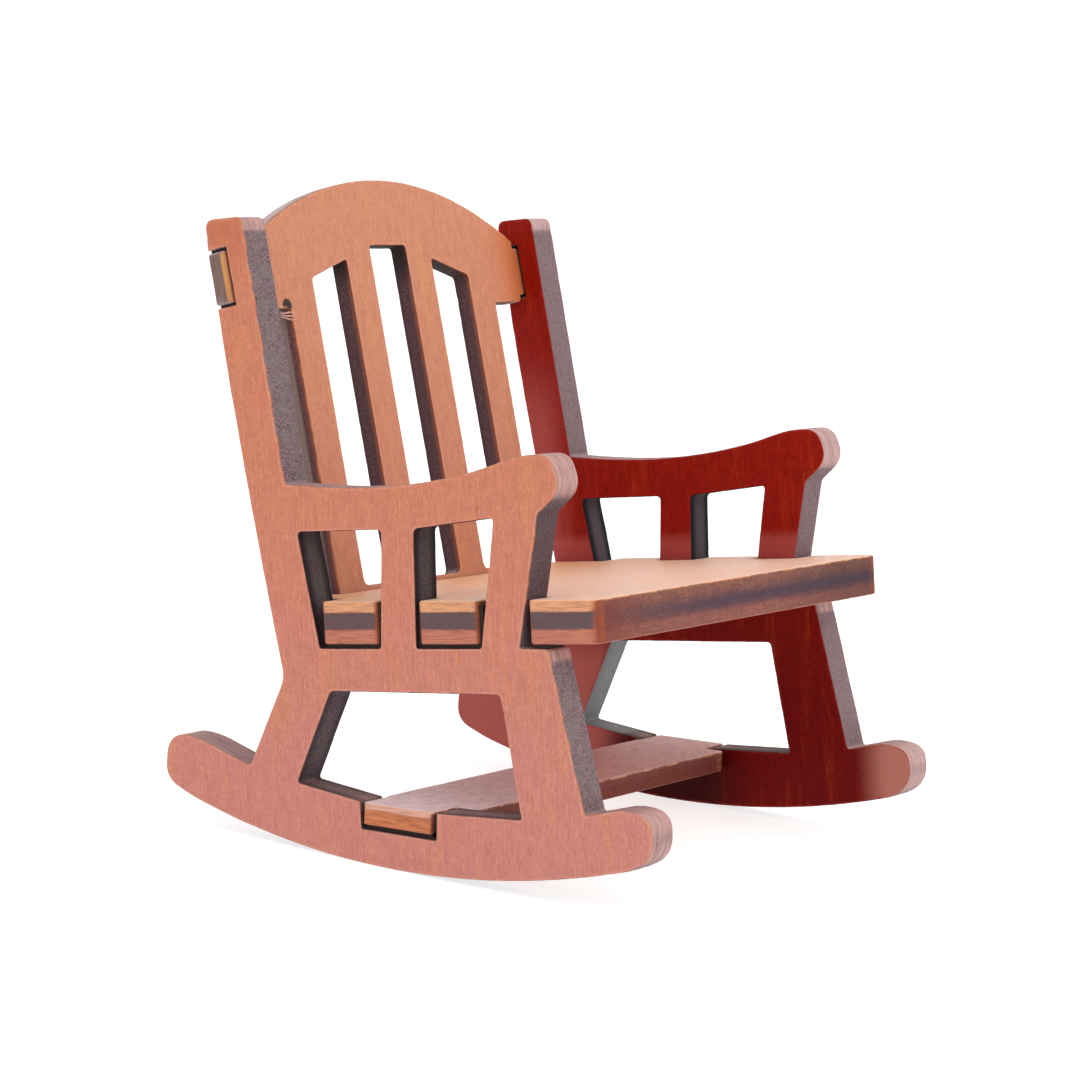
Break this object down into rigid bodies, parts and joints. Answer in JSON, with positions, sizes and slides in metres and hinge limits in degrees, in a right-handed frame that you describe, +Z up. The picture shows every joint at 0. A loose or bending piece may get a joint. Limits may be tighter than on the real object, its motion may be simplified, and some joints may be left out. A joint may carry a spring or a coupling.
{
  "type": "miniature rocking chair",
  "caption": "Dolls' house rocking chair of slotted laser-cut plywood, with arms on one-piece side panels that end in rockers, a slatted backrest, a flat seat and a low stretcher.",
  "frame": {"origin": "the middle of the chair's footprint, on the surface it stands on", "axes": "+X to the sitter's left, +Y to the rear, +Z up, with the chair at the lean at which it comes to rest on its rockers"},
  "size_m": [0.051, 0.0526, 0.0587],
  "materials": {
    "side_board": "satin plywood stained a warm red-brown, with dark laser-charred edges",
    "seat_board": "satin plywood stained golden orange-brown, with its plies showing at the cut ends",
    "back_board": "satin thin plywood stained orange-brown, with dark laser-charred edges",
    "stretcher_board": "satin thin plywood stained a dull pinkish brown, with dark laser-charred edges"
  },
  "bodies": {
    "root": {"side_panel_right": "side_board", "side_panel_left": "side_board", "seat": "seat_board", "backrest": "back_board", "stretcher": "stretcher_board"}
  },
  "joints": []
}
